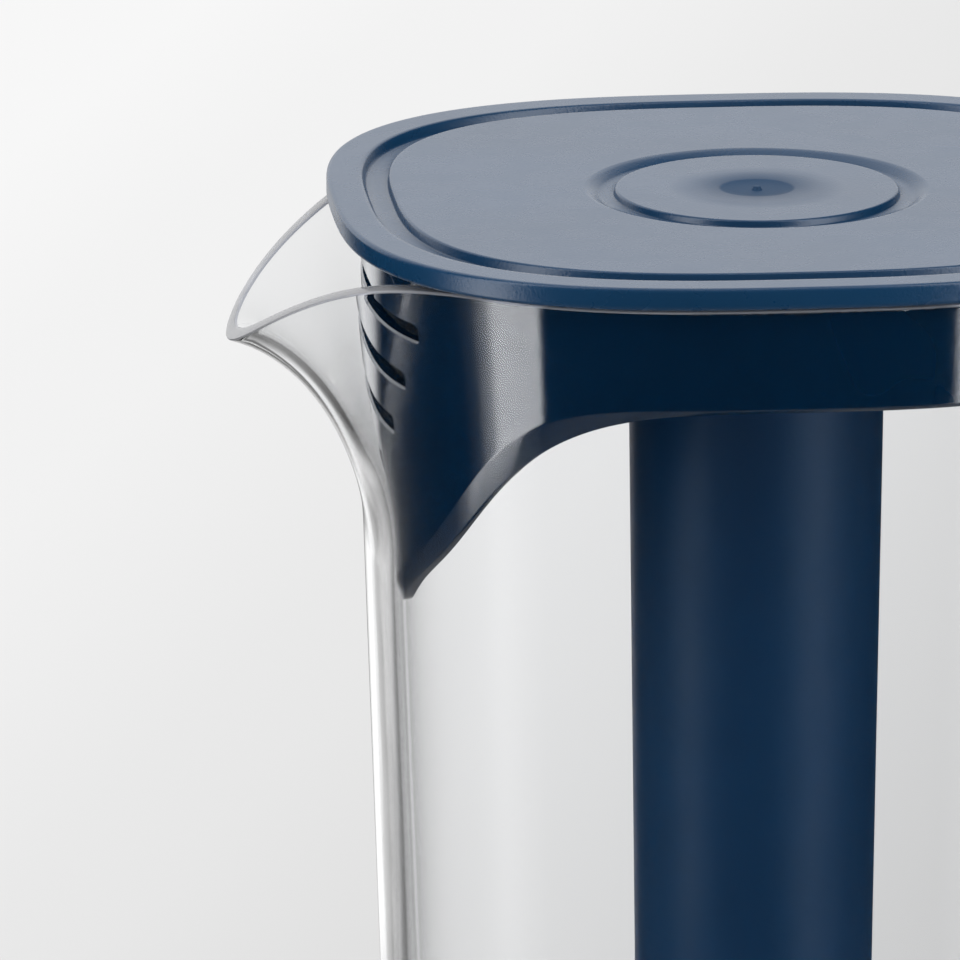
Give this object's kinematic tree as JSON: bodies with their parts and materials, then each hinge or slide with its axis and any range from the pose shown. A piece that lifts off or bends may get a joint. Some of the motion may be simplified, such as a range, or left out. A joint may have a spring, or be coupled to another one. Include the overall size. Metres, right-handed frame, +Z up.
{
  "type": "plastic pitcher",
  "caption": "Clear rounded-square pitcher with a pouring spout, side handle, strainer lid and a hollow cooling core that screws up into the lid.",
  "frame": {"origin": "middle of the base, on the surface that the pitcher stands on", "axes": "+Z up, -X towards the spout, +X towards the handle, +Y to the back seen with the spout on the left"},
  "size_m": [0.1746, 0.122, 0.2419],
  "materials": {
    "clear_plastic": "clear, polished",
    "lid_blue": "fine matt texture",
    "skirt_blue": "polished",
    "core_blue": "satin",
    "seal_silicone": "matt silicone"
  },
  "bodies": {
    "jug": {"jug_body": "clear_plastic", "handle": "clear_plastic"},
    "lid": {"lid_cover": "lid_blue", "strainer_skirt": "skirt_blue"},
    "seal": {"core_seal": "seal_silicone"},
    "core": {"core_tube": "core_blue"}
  },
  "joints": [
    {"name": "lid_lift", "type": "slide", "parent": "jug", "child": "lid", "axis": [0, 0, 1], "range_m": [0, 0.225]},
    {"name": "core_drop", "type": "slide", "parent": "lid", "child": "seal", "axis": [0, 0, -1], "range_m": [0, 0.0026]},
    {"name": "core_turn", "type": "hinge", "parent": "seal", "child": "core", "pos_m": [0, 0, 0.2313], "axis": [0, 0, -1], "range_deg": [0, 60]}
  ],
  "couplings": [
    {"joint": "core_drop", "follows": "core_turn", "m_per_rad": 0.0023873}
  ]
}
